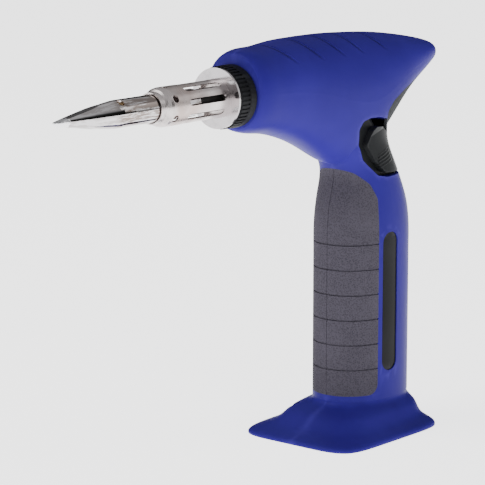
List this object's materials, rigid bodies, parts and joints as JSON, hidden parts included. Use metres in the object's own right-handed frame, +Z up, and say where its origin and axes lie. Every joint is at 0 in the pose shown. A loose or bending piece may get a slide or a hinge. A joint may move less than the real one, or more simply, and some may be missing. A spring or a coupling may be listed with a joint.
{
  "type": "gas soldering iron",
  "caption": "Cordless pistol-grip gas soldering iron on a flared foot, with a bevelled tip, slotted shroud, flow knob and thumb slider.",
  "frame": {"origin": "centre of the foot's underside", "axes": "+X along the barrel towards the tip, +Y to the tool's left, +Z up"},
  "size_m": [0.2435, 0.0622, 0.1788],
  "materials": {
    "housing": "moulded, satin",
    "grip_rubber": "fine stipple",
    "web_rubber": "matt",
    "black_plastic": "satin",
    "window": "gloss",
    "chrome": "polished",
    "stainless": "brushed",
    "burner_steel": "heat-darkened",
    "brass": "turned",
    "tank": "translucent",
    "spring_steel": "bright",
    "ceramic": "matt",
    "catalyst": "porous",
    "soft_tube": "soft",
    "lead": "insulated"
  },
  "bodies": {
    "handpiece": {"housing_left": "housing", "housing_right": "housing", "housing_screws": "spring_steel", "grip_pad_left": "grip_rubber", "grip_pad_right": "grip_rubber", "web_pad": "web_rubber", "fuel_window_left": "window", "fuel_window_right": "window", "slider_guide": "black_plastic", "piezo_module": "black_plastic", "fuel_tank": "tank", "tank_cap": "tank", "refill_valve_body": "brass", "refill_spring": "spring_steel", "valve_block": "brass", "lever_pin": "spring_steel", "gas_tube": "soft_tube", "gas_jet": "brass", "burner_tube": "burner_steel", "nose_bush": "brass", "heat_shield": "stainless", "slotted_shroud": "stainless", "soldering_tip": "chrome", "catalyst_insert": "catalyst", "ceramic_insulator": "ceramic", "igniter_electrode": "spring_steel", "igniter_lead": "lead"},
    "knob": {"flow_knob": "black_plastic", "metering_sleeve": "brass", "drive_pin": "spring_steel"},
    "slider": {"thumb_slider": "black_plastic"},
    "plunger": {"piezo_plunger": "spring_steel"},
    "lever": {"valve_lever": "stainless"},
    "outlet_stem": {"valve_stem": "spring_steel"},
    "inlet_stem": {"refill_stem": "brass"}
  },
  "joints": [
    {"name": "knob_turn", "type": "hinge", "parent": "handpiece", "child": "knob", "pos_m": [0.0785, 0, 0.1576], "axis": [1, 0, 0], "range_deg": [-60, 60]},
    {"name": "slider_slide", "type": "slide", "parent": "handpiece", "child": "slider", "axis": [0.6157, 0, 0.788], "range_m": [0, 0.0045], "stiffness_N_per_m": 300, "springref_m": -0.004},
    {"name": "plunger_slide", "type": "slide", "parent": "handpiece", "child": "plunger", "axis": [0.6157, 0, 0.788], "range_m": [0, 0.00451]},
    {"name": "lever_swing", "type": "hinge", "parent": "handpiece", "child": "lever", "pos_m": [-0.008, 0, 0.11], "axis": [0, 1, 0], "range_deg": [0, 25]},
    {"name": "outlet_press", "type": "slide", "parent": "handpiece", "child": "outlet_stem", "axis": [0, 0, -1], "range_m": [0, 0.00182]},
    {"name": "refill_press", "type": "slide", "parent": "handpiece", "child": "inlet_stem", "axis": [0, 0, 1], "range_m": [0, 0.002], "stiffness_N_per_m": 300, "springref_m": -0.001, "deforming": ["refill_spring"]}
  ],
  "couplings": [
    {"joint": "plunger_slide", "follows": "slider_slide", "ratio": 1},
    {"joint": "lever_swing", "follows": "slider_slide", "rad_per_m": 96.9},
    {"joint": "outlet_press", "follows": "slider_slide", "ratio": 0.4}
  ]
}
